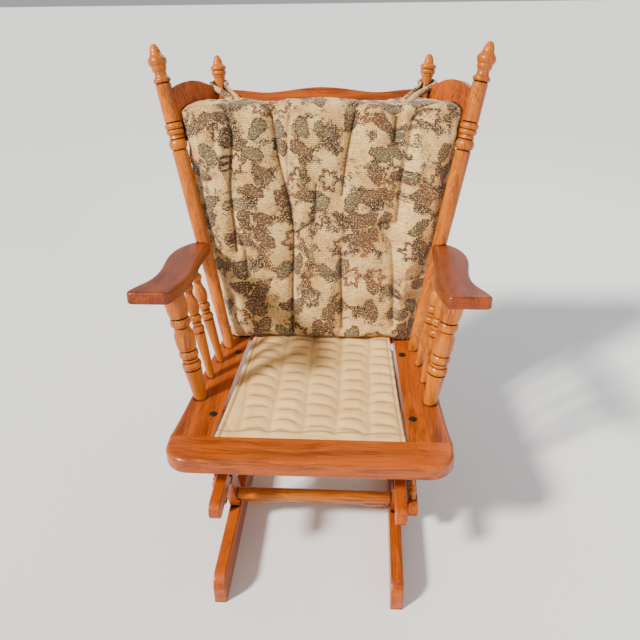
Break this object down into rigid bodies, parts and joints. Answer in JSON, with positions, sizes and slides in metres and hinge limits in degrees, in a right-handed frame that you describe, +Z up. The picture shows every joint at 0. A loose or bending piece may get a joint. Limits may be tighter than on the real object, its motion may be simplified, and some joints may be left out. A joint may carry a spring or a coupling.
{
  "type": "glider nursery chair",
  "caption": "Wooden glider armchair with turned posts, winged back and tied tapestry back cushion; the seat hangs on links and glides over a fixed base.",
  "frame": {"origin": "centre of the footprint on the floor, under the middle of the bounding box", "axes": "+Z up, +X to the viewer's right seen from the front, the front faces -Y"},
  "size_m": [0.8122, 0.8035, 1.0732],
  "materials": {
    "board_wood": "semi-gloss honey maple stain on flat boards",
    "turned_wood": "semi-gloss honey maple stain on turned posts",
    "link_steel": "black paint, satin",
    "pivot_steel": "black oxide, satin",
    "bolt_black": "black, satin dome",
    "spring_steel": "plain spring wire",
    "deck_canvas": "beige cotton canvas",
    "cushion_tapestry": "chenille tapestry, floral"
  },
  "bodies": {
    "base": {"base_rail_left": "board_wood", "base_rail_right": "board_wood", "foot_left": "board_wood", "foot_right": "board_wood", "stretcher_front_lower": "turned_wood", "stretcher_front_upper": "turned_wood", "stretcher_rear": "turned_wood", "upper_pivot_bolts": "pivot_steel", "upright_front_left": "board_wood", "upright_front_right": "board_wood", "upright_rear_left": "board_wood", "upright_rear_right": "board_wood"},
    "front_links": {"link_front_left": "link_steel", "link_front_right": "link_steel"},
    "seat": {"arm_left": "board_wood", "arm_post_left": "turned_wood", "arm_post_right": "turned_wood", "arm_right": "board_wood", "arm_spindle_mid_left": "turned_wood", "arm_spindle_mid_right": "turned_wood", "arm_spindle_rear_left": "turned_wood", "arm_spindle_rear_right": "turned_wood", "back_cushion": "cushion_tapestry", "back_post_left": "turned_wood", "back_post_right": "turned_wood", "back_spindle_1": "turned_wood", "back_spindle_2": "turned_wood", "back_spindle_3": "turned_wood", "back_spindle_4": "turned_wood", "back_spindle_5": "turned_wood", "carriage_rail_left": "board_wood", "carriage_rail_right": "board_wood", "crest_rail": "board_wood", "cushion_tie_left": "cushion_tapestry", "cushion_tie_right": "cushion_tapestry", "deck_fabric": "deck_canvas", "lower_pivot_bolts": "pivot_steel", "riser_front_left": "turned_wood", "riser_front_right": "turned_wood", "riser_rear_left": "turned_wood", "riser_rear_right": "turned_wood", "seat_bolts": "bolt_black", "seat_front": "board_wood", "seat_rear": "board_wood", "seat_side_left": "board_wood", "seat_side_right": "board_wood", "spring_1": "spring_steel", "spring_2": "spring_steel", "spring_3": "spring_steel", "spring_4": "spring_steel", "spring_5": "spring_steel", "spring_clips": "spring_steel", "wing_crest_left": "board_wood", "wing_crest_right": "board_wood", "wing_post_left": "turned_wood", "wing_post_right": "turned_wood"},
    "rear_links": {"link_rear_left": "link_steel", "link_rear_right": "link_steel"}
  },
  "joints": [
    {"name": "front_link_swing", "type": "hinge", "parent": "base", "child": "front_links", "pos_m": [0, -0.2218, 0.218], "axis": [1, 0, 0], "range_deg": [-12, 12]},
    {"name": "seat_on_front_links", "type": "hinge", "parent": "front_links", "child": "seat", "pos_m": [0, -0.1878, 0.102], "axis": [1, 0, 0], "range_deg": [-13.6, 13.6]},
    {"name": "rear_link_swing", "type": "hinge", "parent": "base", "child": "rear_links", "pos_m": [0, 0.2255, 0.218], "axis": [1, 0, 0], "range_deg": [-12.3, 12.3]}
  ],
  "couplings": [
    {"joint": "seat_on_front_links", "follows": "front_link_swing", "ratio": -1.1056},
    {"joint": "rear_link_swing", "follows": "front_link_swing", "ratio": 1.0005}
  ]
}
